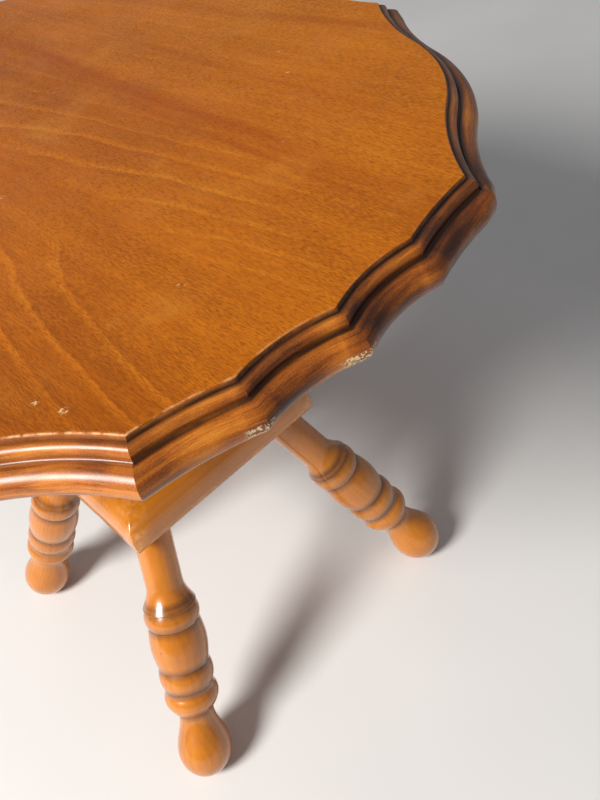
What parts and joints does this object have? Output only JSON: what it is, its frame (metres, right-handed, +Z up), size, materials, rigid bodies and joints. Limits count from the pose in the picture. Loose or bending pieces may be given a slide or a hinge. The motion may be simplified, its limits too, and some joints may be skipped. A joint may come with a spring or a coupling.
{
  "type": "tilt top table",
  "caption": "Tilt top occasional table: scalloped, moulded top on a head block and turned column, square plinth, splayed turned legs and a brass slide catch.",
  "frame": {"origin": "on the floor under the middle of the top", "axes": "+Z up, +X to the right towards the tilt pins, +Y to the back; the front is the side towards -Y"},
  "size_m": [0.6434, 0.8146, 0.522],
  "materials": {
    "veneer": "satin varnish",
    "core_wood": "bare",
    "back_wood": "bare",
    "edge_wood": "gloss varnish",
    "turned_wood": "gloss varnish",
    "steel": "dull",
    "brass": "aged"
  },
  "bodies": {
    "stand": {"pivot_pin_front": "steel", "pivot_pin_back": "steel", "head_block": "turned_wood", "head_screw": "steel", "column": "turned_wood", "column_wedge": "back_wood", "plinth": "turned_wood", "leg_front_left": "turned_wood", "leg_front_right": "turned_wood", "leg_back_left": "turned_wood", "leg_back_right": "turned_wood", "strike_plate": "brass", "strike_screws": "brass"},
    "top": {"face_veneer": "veneer", "top_core": "core_wood", "backing_veneer": "back_wood", "edge_front": "edge_wood", "edge_corner_front_right": "edge_wood", "edge_right": "edge_wood", "edge_corner_back_right": "edge_wood", "edge_back": "edge_wood", "edge_corner_back_left": "edge_wood", "edge_left": "edge_wood", "edge_corner_front_left": "edge_wood", "batten_front": "back_wood", "batten_back": "back_wood", "batten_screws": "steel", "catch_plate": "brass", "catch_screws": "brass"},
    "bolt": {"catch_bolt": "brass", "catch_knob": "brass"}
  },
  "joints": [
    {"name": "top_tilt", "type": "hinge", "parent": "stand", "child": "top", "pos_m": [0.085, -0.086, 0.4732], "axis": [0, 1, 0], "range_deg": [0, 90]},
    {"name": "catch_slide", "type": "slide", "parent": "top", "child": "bolt", "axis": [1, 0, 0], "range_m": [0, 0.008]}
  ]
}
